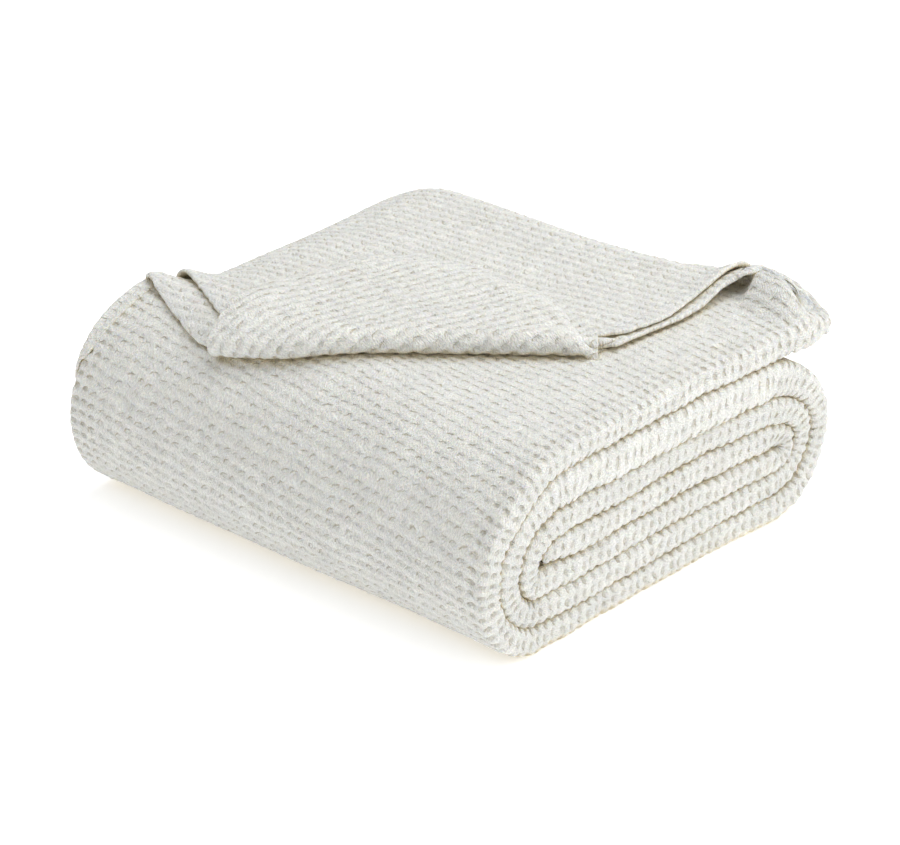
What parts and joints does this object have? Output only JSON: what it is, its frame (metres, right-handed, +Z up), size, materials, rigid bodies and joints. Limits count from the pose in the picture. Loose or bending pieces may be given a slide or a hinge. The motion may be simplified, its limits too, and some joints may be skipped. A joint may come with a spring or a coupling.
{
  "type": "folded throw blanket",
  "caption": "Cream textured cotton throw, folded to a strip, rolled flat, with its end flap turned back over the top and one corner folded over",
  "frame": {"origin": "middle of the bounding box in plan, at the level that the blanket rests on", "axes": "+X along the roll towards the end with the neat rounded folds, -Y to the rounded front, +Z up"},
  "size_m": [0.307, 0.278, 0.123],
  "materials": {
    "knit_cotton": "matt cream cotton knit with small pits in nearly square rows",
    "hem_cotton": "the same cotton, pressed flatter where it is turned under and sewn",
    "sewing_thread": "cream sewing thread",
    "satin_label": "blank white satin ribbon"
  },
  "bodies": {
    "roll": {"roll_core": "knit_cotton", "inner_turn": "knit_cotton", "middle_turn": "knit_cotton", "outer_turn": "knit_cotton", "outer_turn_hem": "hem_cotton", "top_wrap": "knit_cotton", "top_wrap_hem": "hem_cotton", "loop_outer_ply": "knit_cotton", "loop_inner_ply": "knit_cotton", "label_stitch": "sewing_thread"},
    "flap": {"flap_lower_ply": "knit_cotton", "flap_lower_side_hem": "hem_cotton", "flap_lower_front_hem": "hem_cotton", "flap_upper_ply": "knit_cotton", "flap_upper_side_hem": "hem_cotton", "flap_upper_front_hem": "hem_cotton", "side_hem_stitch": "sewing_thread", "lower_front_stitch": "sewing_thread", "upper_front_stitch": "sewing_thread"},
    "folded_corner": {"corner_inner_ply": "knit_cotton", "corner_inner_hem": "hem_cotton", "corner_outer_ply": "knit_cotton", "corner_outer_hem": "hem_cotton", "corner_hem_stitch": "sewing_thread"},
    "label": {"care_label": "satin_label"}
  },
  "joints": [
    {"name": "flap_fold", "type": "hinge", "parent": "roll", "child": "flap", "pos_m": [0.0035, 0.12285, 0.1162], "axis": [-1, 0, 0], "range_deg": [0, 150]},
    {"name": "corner_fold", "type": "hinge", "parent": "flap", "child": "folded_corner", "pos_m": [0.09553, 0.013, 0.1162], "axis": [0.7544, 0.6564, 0], "range_deg": [0, 150]},
    {"name": "label_hinge", "type": "hinge", "parent": "roll", "child": "label", "pos_m": [-0.14737, 0.083, 0.0597], "axis": [0, 1, 0], "range_deg": [0, 120]}
  ]
}
